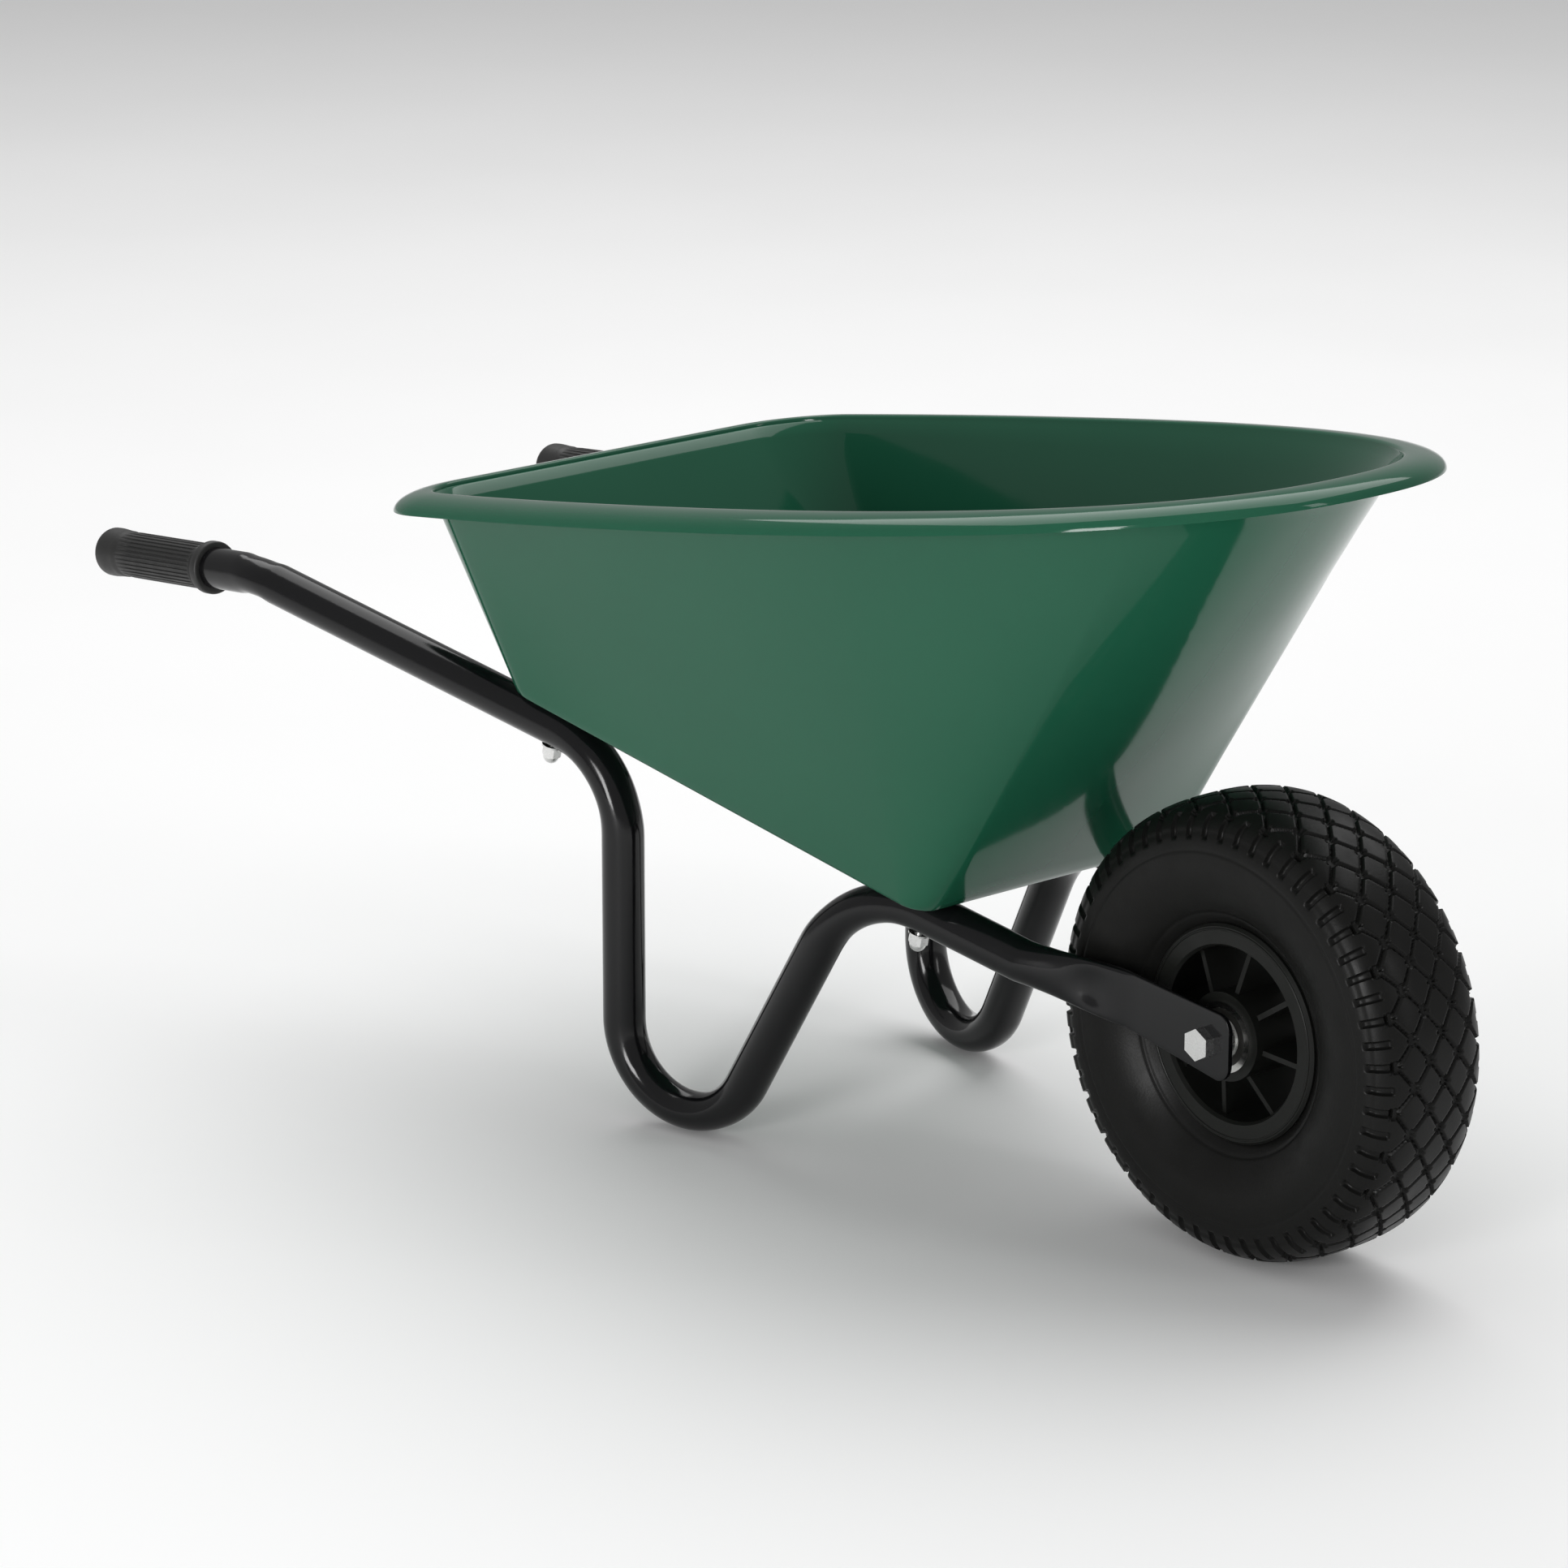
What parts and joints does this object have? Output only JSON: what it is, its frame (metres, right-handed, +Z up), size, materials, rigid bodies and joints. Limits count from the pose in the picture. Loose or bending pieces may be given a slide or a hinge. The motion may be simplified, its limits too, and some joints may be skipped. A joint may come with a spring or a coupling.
{
  "type": "wheelbarrow",
  "caption": "Small garden wheelbarrow: moulded plastic tray on bent steel tubes with legs and rubber grips, rolling on a solid-tyred front wheel.",
  "frame": {"origin": "on the ground below the middle of the whole length and width", "axes": "+X forward to the wheel, +Y to the left, +Z up"},
  "size_m": [0.96, 0.384, 0.4445],
  "materials": {
    "tray_plastic": "semi-gloss moulded",
    "tube_paint": "gloss black",
    "grip_rubber": "matte ribbed",
    "zinc": "bright zinc plate",
    "bearing_steel": "ground",
    "seal": "matte",
    "rim_plastic": "satin moulded",
    "tyre_rubber": "matte rubber"
  },
  "bodies": {
    "barrow_frame": {"tray": "tray_plastic", "frame_tube_left": "tube_paint", "frame_tube_right": "tube_paint", "grip_left": "grip_rubber", "grip_right": "grip_rubber", "tray_bolts": "zinc", "spacer_washers": "zinc", "tube_washers": "zinc", "dome_nuts": "zinc", "axle_bolt": "zinc", "axle_sleeve": "zinc", "axle_washer": "zinc", "axle_nut": "zinc", "end_spacer_left": "zinc", "end_spacer_right": "zinc", "centre_spacer": "zinc", "inner_race_left": "bearing_steel", "inner_race_right": "bearing_steel"},
    "wheel": {"wheel_rim": "rim_plastic", "tyre": "tyre_rubber", "outer_race_left": "bearing_steel", "outer_race_right": "bearing_steel", "bearing_balls_left": "bearing_steel", "bearing_balls_right": "bearing_steel", "bearing_shield_left": "seal", "bearing_shield_right": "seal"}
  },
  "joints": [
    {"name": "wheel_spin", "type": "hinge", "parent": "barrow_frame", "child": "wheel", "pos_m": [0.35, 0, 0.13], "axis": [0, 1, 0], "continuous": true}
  ]
}
